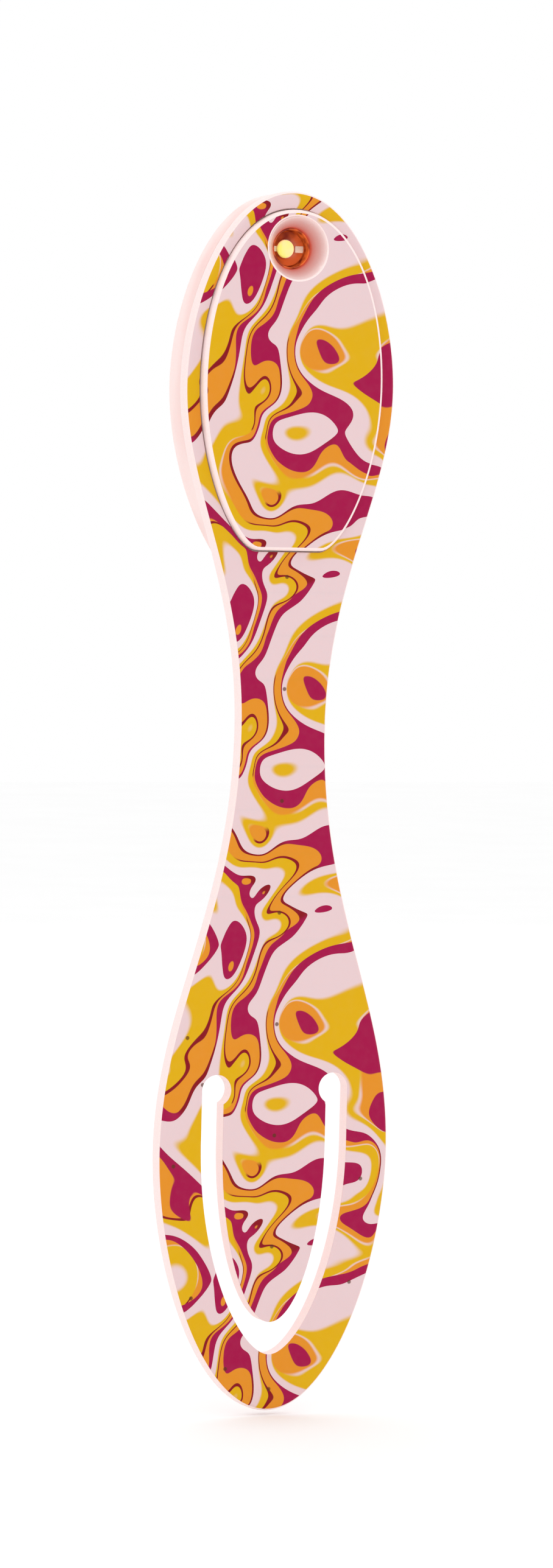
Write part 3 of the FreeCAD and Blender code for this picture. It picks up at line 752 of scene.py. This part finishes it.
def dress(piece: bpy.types.Object, material: bpy.types.Material, body: str, slot: str, *nodes: str) -> None:
    """Give a new piece its material and its body, and hide the CAD nodes that it stands for."""
    piece.data.materials.append(material)
    if body:
        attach(piece, body)
    if nodes:
        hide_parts(*nodes)
    LOG.info("%s: %d faces", piece.name, len(piece.data.polygons))


def solid_half(loop: list[Vector], outer: int, form: StrapForm) -> bmesh.types.BMesh:
    """The whole plate from its right half.

    Args:
        loop: the half's corners in order; the first outer ones lie on the rounded outside edge.
        outer: how many corners those are.
        form: the strap's sizes.

    Returns:
        A closed plate, mirrored, with its edges rounded.
    """
    bm = bmesh.new()
    rim = bm.verts.layers.int.new("rim")
    verts = [bm.verts.new((point.x if point.x > HAIR else 0.0, form.front, point.z)) for point in loop]
    for index, vert in enumerate(verts):
        vert[rim] = 1 if index < outer else (2 if vert.co.x else 0)
    face = bm.faces.new(verts)
    swept = bmesh.ops.extrude_face_region(bm, geom=[face], use_keep_orig=True)
    moved = [item for item in swept["geom"] if isinstance(item, bmesh.types.BMVert)]
    bmesh.ops.translate(bm, vec=(0.0, form.back - form.front, 0.0), verts=moved)
    middle = [face for face in bm.faces if not any(vert.co.x for vert in face.verts)]
    bmesh.ops.delete(bm, geom=middle, context="FACES_ONLY")
    rounds = ((1, form.edge_round, form.edge_segments), (2, form.slot_round, form.slot_segments))
    for mark, size, segments in rounds:
        edges = [edge for edge in bm.edges if len(edge.link_faces) == 2 and form.rounds(edge)
                 and any(vert[rim] == mark for vert in edge.verts)
                 and all(vert[rim] in (mark, 0) or mark == 1 for vert in edge.verts)]
        if edges:
            bmesh.ops.bevel(bm, geom=edges, offset=size, segments=segments, profile=0.5, affect="EDGES",
                            material=-1, clamp_overlap=True)
    bmesh.ops.mirror(bm, geom=bm.verts[:] + bm.edges[:] + bm.faces[:], axis="X", merge_dist=HAIR)
    bmesh.ops.remove_doubles(bm, verts=bm.verts, dist=HAIR)
    bmesh.ops.recalc_face_normals(bm, faces=bm.faces)
    return bm


def slice_off(bm: bmesh.types.BMesh, height: float, keep_above: bool) -> None:
    """Cut everything on one side of a height away and close the cut."""
    cut = bmesh.ops.bisect_plane(bm, geom=bm.verts[:] + bm.edges[:] + bm.faces[:], dist=ON_PLANE,
                                 plane_co=(0, 0, height), plane_no=(0, 0, 1),
                                 clear_inner=keep_above, clear_outer=not keep_above)
    edges = [item for item in cut["geom_cut"] if isinstance(item, bmesh.types.BMEdge)]
    bmesh.ops.edgeloop_fill(bm, edges=edges)


def score(bm: bmesh.types.BMesh, heights: Iterable[float]) -> None:
    """Add an edge loop at each height."""
    for height in heights:
        bmesh.ops.bisect_plane(bm, geom=bm.verts[:] + bm.edges[:] + bm.faces[:], dist=ON_PLANE,
                               plane_co=(0, 0, height), plane_no=(0, 0, 1))


def mark_ink(piece: bpy.types.Object, printed: Callable[[Vector], bool]) -> None:
    """Store where a strap piece is printed, and give it no painted LED glow."""
    ink = piece.data.attributes.new(INK, "FLOAT", "POINT")
    ink.data.foreach_set("value", [float(printed(vert.co / MM)) for vert in piece.data.vertices])
    glow = piece.data.attributes.new(GLOW, "FLOAT", "POINT")
    glow.data.foreach_set("value", [0.0] * len(piece.data.vertices))


# ---------------------------------------------------------------- sub-assemblies


@dataclass
class Strap:
    """The printed strap: clip frame, tongue, flexible neck and head rim."""

    form: StrapForm
    cap: CapForm
    material: bpy.types.Material
    bend_step: float = 0.57
    tongue_step: float = 1.0
    bend_length: float = 9.0
    print_wrap: float = 0.1
    outline_spans: int = 44

    def _plate(self) -> bmesh.types.BMesh:
        """The whole strap with its slot and its cap window."""
        form = self.form
        outside = trace(form.outline(), self.outline_spans)
        window = trace(self.cap.outline(self.cap.gap), self.outline_spans)
        window.append(Vector((0.0, 0.0, self.cap.bottom - self.cap.gap)))
        slot = list(reversed(form.slot()))
        root = [Vector((0.0, 0.0, form.root))]
        return solid_half(outside + window + root + slot, len(outside), form)

    def _finish(self, bm: bmesh.types.BMesh, name: str, body: str, *nodes: str) -> bpy.types.Object:
        """Make one printed piece of the strap."""
        piece = to_object(bm, name)
        limit = self.form.front + self.print_wrap
        mark_ink(piece, lambda place: place.y < limit)
        dress(piece, self.material, body, "printed_strap", *nodes)
        return piece

    def build(self) -> None:
        """Make the strap's pieces."""
        form = self.form
        half_pitch = (form.hinges[1] - form.hinges[0]) / 2
        plate = self._plate()
        clip = plate.copy()
        slice_off(clip, form.hinges[0] - half_pitch, keep_above=False)
        self._finish(clip, "clip_skin", "clip", "clip_frame")
        rim = plate.copy()
        slice_off(rim, form.hinges[-1] + half_pitch, keep_above=True)
        self._finish(rim, "head_rim", "head", "head_bezel")
        bodies = ["clip", *[f"neck_{k}" for k in range(1, len(form.hinges))], "head"]
        for k, hinge in enumerate(form.hinges):
            low, high = hinge - half_pitch, hinge + half_pitch
            link = plate.copy()
            slice_off(link, low, keep_above=True)
            slice_off(link, high, keep_above=False)
            spans = round((high - low) / self.bend_step)
            score(link, [low + (high - low) * n / spans for n in range(1, spans)])
            nodes = [f"neck_link_{k}"] if k else []
            piece = self._finish(link, f"neck_skin_{k + 1}", "", *nodes)
            bodies[k + 1]
            low * MM
            high * MM
            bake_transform(piece)
        plate.free()
        self._tongue()

    def _tongue(self) -> None:
        """The sprung tongue, with edge loops near its root."""
        form = self.form
        edge = form.tongue()
        bm = solid_half(list(reversed(edge)) + [Vector((0.0, 0.0, form.root))], 0, form)
        count = round(self.bend_length / self.tongue_step)
        score(bm, [form.root - self.bend_length * n / count for n in range(1, count + 1)])
        piece = self._finish(bm, "tongue_skin", "", "clip_tongue")
        form.root * MM
        (form.root - self.bend_length) * MM
        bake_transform(piece)


@dataclass
class Cap:
    """The press cap with its crowned front and the round LED recess.

    It grows ring by ring. A ring is where each spoke meets it, how much it is printed and how
    much painted shade and LED glow it gets on the recess wall.
    """

    form: CapForm
    lip_front: float
    material: bpy.types.Material
    spokes: int = 192
    rim_spans: int = 120
    mouth_radius: float = 4.15
    mouth_depth: float = 0.28
    floor_radius: float = 2.7
    recess_depth: float = 2.65
    sleeve_wall: float = 0.9
    sleeve_short: float = 0.1
    lip_round: float = 0.35
    lip_turns: int = 5
    lip_start: float = 0.25
    lip_end: float = 0.7
    lip_drop: float = 0.7
    lip_sink: float = 0.8
    edge_round: float = 0.5
    edge_turns: int = 6
    wall: float = 1.1
    flange_thickness: float = 0.6
    rings: int = 12
    # Painted shade and LED glow down the recess: the share of the way to the mouth, and how much is painted
    # there.
    warmths: tuple[Point, ...] = (
        (0.0, 1.0), (0.12, 0.78), (0.35, 0.60), (0.6, 0.45), (0.82, 0.26), (1.0, 0.04),
    )
    centre: Vector = field(init=False)
    back: float = field(init=False)
    rim: list[tuple[Vector, Vector]] = field(init=False)
    rays: list[Vector] = field(init=False)

    def __post_init__(self) -> None:
        """Find the recess's axis, and aim a spoke from it at each point of the rim."""
        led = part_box("led_lens")
        self.centre = Vector((0.0, 0.0, (led[0].z + led[1].z) / 2 / MM))
        self.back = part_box("press_cap")[1].y / MM
        self.rim = self._rim()
        self.rays = [(point - self.centre).normalized() for point, _ in self.rim]

    def _circle(self, radius: float, depth: float) -> Place:
        """A ring round the recess's axis."""
        return lambda k: self.centre + self.rays[k] * radius + Vector((0.0, depth, 0.0))

    def _on_crown(self, point: Vector, drop: float = 0.0) -> Vector:
        """A point brought to the crowned front, or to a little behind it."""
        return Vector((point.x, self.form.surface(point.x, point.z) + drop, point.z))

    def _inside(self, k: int, margin: float) -> Vector:
        """A point inside the cap's outline by a margin."""
        return self.rim[k][0] - self.rim[k][1] * margin

    def _recess_rings(self) -> list[Ring]:
        """From the back of the LED's hole up the recess's cone, with ever less painted shade and LED glow."""
        floor = self.form.face + self.recess_depth
        mouth = self.form.face + self.mouth_depth + self.lip_round * self.lip_sink
        widening = self.mouth_radius - self.lip_round * self.lip_start - self.floor_radius
        rings = [(self._circle(self.floor_radius, self.back - self.sleeve_short), 0.0, 1.0)]
        for share, painted_led_glow in self.warmths:
            radius = self.floor_radius + widening * share
            rings.append((self._circle(radius, floor + (mouth - floor) * share), 0.0, painted_led_glow))
        return rings

    def _lip_rings(self) -> list[Ring]:
        """Round the recess's mouth on to the crowned front."""
        rings: list[Ring] = []
        start = self.mouth_radius - self.lip_round * self.lip_start
        for n in range(1, self.lip_turns + 1):
            angle = n / self.lip_turns * math.pi / 2
            drop = self.lip_round * (1 - math.sin(angle)) * self.lip_drop
            radius = start + self.lip_round * (1 - math.cos(angle))

            def place(k: int, radius: float = radius, drop: float = drop) -> Vector:
                """A point of the rounded mouth."""
                return self._on_crown(self.centre + self.rays[k] * radius, drop)
            rings.append((place, 1.0 if n == self.lip_turns else 0.0, 0.0))
        return rings

    def _front_rings(self) -> list[Ring]:
        """Across the printed front, from the mouth to the edge."""
        lip_radius = self.mouth_radius + self.lip_round * self.lip_end
        rings: list[Ring] = []
        for n in range(1, self.rings + 1):
            def place(k: int, share: float = n / self.rings) -> Vector:
                """A point between the mouth and the edge."""
                near = self.centre + self.rays[k] * lip_radius
                return self._on_crown(near.lerp(self._inside(k, self.edge_round), share))
            rings.append((place, 1.0, 0.0))
        return rings

    def _edge_rings(self) -> list[Ring]:
        """Round the front edge, which is not printed."""
        rings: list[Ring] = []
        for n in range(1, self.edge_turns + 1):
            angle = n / self.edge_turns * math.pi / 2
            margin = self.edge_round * (1 - math.sin(angle))
            drop = self.edge_round * (1 - math.cos(angle))

            def place(k: int, margin: float = margin, drop: float = drop) -> Vector:
                """A point of the rounded edge."""
                return self._on_crown(self._inside(k, margin), drop)
            rings.append((place, 0.0, 0.0))
        return rings

    def _back_rings(self) -> list[Ring]:
        """Down the side, round the flange and back inside to the sleeve round the LED."""
        front = self.back - self.flange_thickness
        rings: list[Ring] = []
        for margin, depth in ((0.0, self.lip_front), (0.0, front), (-self.form.flange, front),
                              (-self.form.flange, self.back), (self.wall, self.back),
                              (self.wall, self.lip_front)):
            def place(k: int, margin: float = margin, depth: float = depth) -> Vector:
                """A point at one depth."""
                point = self._inside(k, margin)
                return Vector((point.x, depth, point.z))
            rings.append((place, 0.0, 0.0))
        outer = self.floor_radius + self.sleeve_wall
        rings.append((self._circle(outer, self.lip_front), 0.0, 0.0))
        rings.append((self._circle(outer, self.back - self.sleeve_short), 0.0, 0.0))
        return rings

    def build(self) -> None:
        """Grow the cap from its rings and close the last on the first."""
        rings = [*self._recess_rings(), *self._lip_rings(), *self._front_rings(),
                 *self._edge_rings(), *self._back_rings()]
        first = rings[0][0]
        rings.append((first, 0.0, 1.0))
        bm = bmesh.new()
        turn = bm.verts.layers.int.new("spoke")
        ink = bm.verts.layers.float.new(INK)
        glow = bm.verts.layers.float.new(GLOW)
        bmesh.ops.create_circle(bm, segments=self.spokes, radius=1.0)
        for index, vert in enumerate(bm.verts):
            vert[turn] = index
            vert.co = first(index)
            vert[glow] = 1.0
        edges = bm.edges[:]
        for place, inked, painted_led_glow in rings[1:]:
            grown = bmesh.ops.extrude_edge_only(bm, edges=edges)["geom"]
            edges = [item for item in grown if isinstance(item, bmesh.types.BMEdge)]
            for vert in (item for item in grown if isinstance(item, bmesh.types.BMVert)):
                vert.co = place(vert[turn])
                vert[ink] = inked
                vert[glow] = painted_led_glow
        bmesh.ops.remove_doubles(bm, verts=bm.verts, dist=DOUBLE)
        bmesh.ops.recalc_face_normals(bm, faces=bm.faces)
        piece = to_object(bm, "cap_skin", sharp=50.0)
        dress(piece, self.material, "cap", "printed_cap", "press_cap")

    def _rim(self) -> list[tuple[Vector, Vector]]:
        """Evenly spaced points round the cap's outline, each with its outward direction."""
        right = trace(self.form.outline(0.0), self.rim_spans)
        right.append(Vector((0.0, 0.0, self.form.bottom)))
        left = [Vector((-point.x, 0.0, point.z)) for point in reversed(right[1:-1])]
        loop = right + left
        runs = [0.0]
        for here, there in zip(loop, loop[1:] + loop[:1]):
            runs.append(runs[-1] + (there - here).length)
        loop.append(loop[0])
        rim = []
        index = 0
        for k in range(self.spokes):
            goal = runs[-1] * k / self.spokes
            while runs[index + 1] < goal:
                index += 1
            span = loop[index + 1] - loop[index]
            point = loop[index] + span * ((goal - runs[index]) / span.length)
            rim.append((point, Vector((-span.z, 0.0, span.x)).normalized()))
        smooth = []
        for k, (point, _) in enumerate(rim):
            ahead, behind = rim[(k + 1) % len(rim)][0], rim[k - 1][0]
            along = (ahead - behind).normalized()
            smooth.append((point, Vector((-along.z, 0.0, along.x))))
        return smooth


@dataclass
class Led:
    """The straw-hat LED's clear body, and the bowl inside it and the sleeve round it, both with a painted
    orange glow.
    """

    epoxy: bpy.types.Material
    bowl: bpy.types.Material
    segments: int = 64
    sharp: float = 40.0
    flange_width: float = 0.32
    flange_thickness: float = 0.8
    flange_slope: float = 0.05
    dome_spans: int = 14
    bowl_back: float = 2.3
    bowl_front: float = 1.0
    bowl_thickness: float = 0.15
    bowl_radii: tuple[float, float, float, float] = (1.9, 2.1, 2.18, 2.2)
    sleeve_set_back: float = 0.4
    sleeve_gap: float = 0.03
    sleeve_wall: float = 0.22
    sleeve_bevel: Point = (0.05, 0.06)
    sleeve_stop: float = 0.1

    def _turned(self, profile: list[Point], height: float) -> bmesh.types.BMesh:
        """A closed round piece from a profile of radius and depth along Y."""
        bm = bmesh.new()
        verts = [bm.verts.new((radius, depth, height)) for radius, depth in profile]
        edges = [bm.edges.new(pair) for pair in zip(verts, verts[1:])]
        bmesh.ops.spin(bm, geom=verts + edges, cent=(0.0, 0.0, height), axis=(0.0, 1.0, 0.0),
                       angle=2 * math.pi, steps=self.segments, use_merge=True)
        bmesh.ops.remove_doubles(bm, verts=bm.verts, dist=DOUBLE)
        bmesh.ops.recalc_face_normals(bm, faces=bm.faces)
        return bm

    def _body(self, radius: float, front: float, back: float) -> list[Point]:
        """The clear body's profile: half a ball, a barrel and a flange."""
        turns = [math.pi / 2 * k / self.dome_spans for k in range(self.dome_spans + 1)]
        dome = [(radius * math.sin(a), front + radius * (1 - math.cos(a))) for a in turns]
        flange = radius + self.flange_width
        step = back - self.flange_thickness
        return dome + [(radius, step), (flange, step + self.flange_slope), (flange, back), (0.0, back)]

    def _bowl(self) -> list[Point]:
        """The bowl's profile."""
        floor, lip, rim, rear = self.bowl_radii
        end = self.bowl_back + self.bowl_thickness
        return [(0.0, self.bowl_back), (floor, self.bowl_back), (lip, self.bowl_front),
                (rim, self.bowl_front), (rear, end), (0.0, end)]

    def _sleeve(self, radius: float, front: float, back: float) -> list[Point]:
        """The sleeve's profile: a thin tube with its front edges bevelled."""
        inner = radius + self.sleeve_gap
        outer = inner + self.sleeve_wall
        across, along = self.sleeve_bevel
        return [(inner, front + along), (inner + across, front), (outer - across, front),
                (outer, front + along), (outer, back), (inner, back), (inner, front + along)]

    def build(self) -> None:
        """Make the LED's pieces."""
        low, high = (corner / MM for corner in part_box("led_lens"))
        height = (low.z + high.z) / 2
        radius = (high.x - low.x) / 2 - self.flange_width
        sleeve = self._sleeve(radius, low.y + self.sleeve_set_back,
                              high.y - self.flange_thickness - self.sleeve_stop)
        body = self._body(radius, low.y, high.y)
        # Bowl and sleeve share the emitting material: a painted glow of the lit LED.
        for name, profile, material, nodes in (("led_body", body, self.epoxy, ["led_lens"]),
                                               ("led_bowl", self._bowl(), self.bowl, []),
                                               ("led_sleeve", sleeve, self.bowl, [])):
            piece = to_object(self._turned(profile, height), name, sharp=self.sharp)
            dress(piece, material, "head", "led_clear", *nodes)


@dataclass
class Dressing:
    """Which finish each carried-over CAD node gets."""

    finishes: dict[str, bpy.types.Material]

    def build(self) -> None:
        """Assign the finishes by the record's material slots."""
        for part in frame["record"]["subparts"]:
            material = self.finishes.get(part["material_slot"])
            node = frame["nodes"].get(part["node"])
            if material is None or node is None:
                continue
            for slot in node.material_slots:
                slot.link = "OBJECT"
                slot.material = material


@dataclass(frozen=True)
class Lamp:
    """One square soft light: where it stands, its side and its power."""

    name: str
    place: Triple
    size: float
    power: float


@dataclass
class Studio:
    """Floor, soft lights and the camera."""

    lean: float = 3.2
    azimuth: float = -24.0
    lens: float = 135.0
    sensor: float = 36.0
    frame_height: float = 0.2056
    centre: Triple = (-0.0003, 0.0, 0.0406)
    floor_drop: float = 0.0006
    floor_size: float = 1500.0
    lamps: tuple[Lamp, ...] = (
        Lamp("key", (-0.30, -0.75, 0.45), 0.55, 0.45),
        Lamp("fill", (0.55, -0.60, 0.20), 0.60, 0.10),
        Lamp("top", (0.0, -0.10, 0.75), 0.50, 0.40),
        Lamp("back", (0.10, 0.70, 0.30), 0.60, 0.30),
    )

    def build(self) -> None:
        """Set up the stage, the lights and the camera."""
        self._floor()
        self._world()
        for lamp in self.lamps:
            self._light(lamp)
        self._camera()

    def _floor(self) -> None:
        """A wide pale floor just under the clip's tip."""
        bm = bmesh.new()
        bmesh.ops.create_grid(bm, x_segments=1, y_segments=1, size=self.floor_size)
        height = CAD_BOX[0].z / MM - self.floor_drop / MM
        bmesh.ops.translate(bm, vec=(0.0, 0.0, height), verts=bm.verts)
        floor = to_object(bm, "studio_floor")
        s = Shader("floor_paint")
        grain = s.noise(s.object_place(), 40.0, 2.0)
        colour = s.blend(grain, (0.97, 0.97, 0.97), (1.0, 1.0, 1.0))
        rough = grain * 0.1 + 0.7
        floor.data.materials.append(s.finish({"Specular IOR Level": 0.1}, Base_Color=colour, Roughness=rough))

    def _world(self) -> None:
        """An even pale surround."""
        world = bpy.data.worlds.new("studio_surround")
        world.use_nodes = True
        background = world.node_tree.nodes["Background"]
        background.inputs["Color"].default_value = (1.0, 1.0, 1.0, 1.0)
        background.inputs["Strength"].default_value = 1.0
        bpy.context.scene.world = world
        bpy.context.scene.view_settings.view_transform = "Standard"

    def _light(self, lamp: Lamp) -> None:
        """Put up one lamp, aimed at the middle of the object."""
        light = bpy.data.lights.new(lamp.name, "AREA")
        light.size = lamp.size
        light.energy = lamp.power
        holder = bpy.data.objects.new(lamp.name, light)
        bpy.context.scene.collection.objects.link(holder)
        holder.location = lamp.place
        aim = Vector(self.centre) - Vector(lamp.place)
        holder.rotation_euler = aim.to_track_quat("-Z", "Y").to_euler()

    def _camera(self) -> None:
        """A long lens in front, a little to the left, as if the object leaned towards it."""
        data = bpy.data.cameras.new("camera")
        data.lens = self.lens
        data.sensor_width = self.sensor
        distance = self.frame_height * self.lens / self.sensor
        holder = bpy.data.objects.new("camera", data)
        bpy.context.scene.collection.objects.link(holder)
        turn = math.radians(self.azimuth)
        upright = Matrix.Rotation(turn, 4, "Z") @ Matrix.Rotation(math.pi / 2, 4, "X")
        leaning = Matrix.Rotation(math.radians(-self.lean), 4, "X") @ upright
        back = leaning.to_3x3() @ Vector((0.0, 0.0, 1.0))
        holder.matrix_world = Matrix.Translation(Vector(self.centre) + back * distance) @ leaning
        bpy.context.scene.camera = holder


def finishes() -> dict[str, bpy.types.Material]:
    """The finishes of the nodes that keep their CAD shape, by record slot."""
    return {
        "shell_plastic": MouldedPlastic("shell_pink", "FBE3DF", "F3CBC6").build(),
        "spring_steel": RolledMetal("spring_steel", "A9ABB0", "7F8288").build(),
        "dead_soft_strip": RolledMetal("soft_steel", "9C9DA1", "77787C", 0.4).build(),
        "cell_can": RolledMetal("cell_plate", "D4D5D8", "A9AAAE", 0.2).build(),
        "contact_metal": RolledMetal("contact_bronze", "D9B45C", "A6792E", 0.25).build(),
        "board": SolderMask().build(),
        "switch_case": MouldedPlastic("switch_black", "1B1B1D", "2C2C2F", 0.5, subsurface=0.0).build(),
        "plunger_plastic": MouldedPlastic("plunger_red", "C8321E", "9E2413", 0.45, subsurface=0.0).build(),
        "lead_metal": RolledMetal("tinned_lead", "E6DDD2", "C9B49C", 0.25).build(),
        "phosphor": Glowing("lit_phosphor", "FFE6A4", "E4EC78", 0.85, 700.0).build(),
        "resistor_body": MouldedPlastic("resistor_black", "202022", "34343A", 0.4, subsurface=0.0).build(),
        "screw_steel": RolledMetal("screw_zinc", "B9BBC0", "8B8D92", 0.3).build(),
        "led_clear": CastEpoxy().build(),
    }


def main() -> None:
    """Build the looks."""
    logging.basicConfig(level=logging.INFO, format="%(name)s: %(message)s")
    strap_form, cap_form = StrapForm(), CapForm()
    dressings = finishes()
    Strap(strap_form, cap_form, SwirlPrint("strap_print", Gloss.SATIN).build()).build()
    Cap(cap_form, strap_form.front, SwirlPrint("cap_print", Gloss.GLOSS).build()).build()
    # The bowl and sleeve glow orange though they are no lamp: a painted glow standing for the lit LED's
    # light.
    Led(dressings["led_clear"], Glowing("bowl_painted_glow", "C65A20", "6E1A0A", 0.55, 640.0).build()).build()
    Dressing(dressings).build()
    Studio().build()


if __name__ == "__main__":
    main()
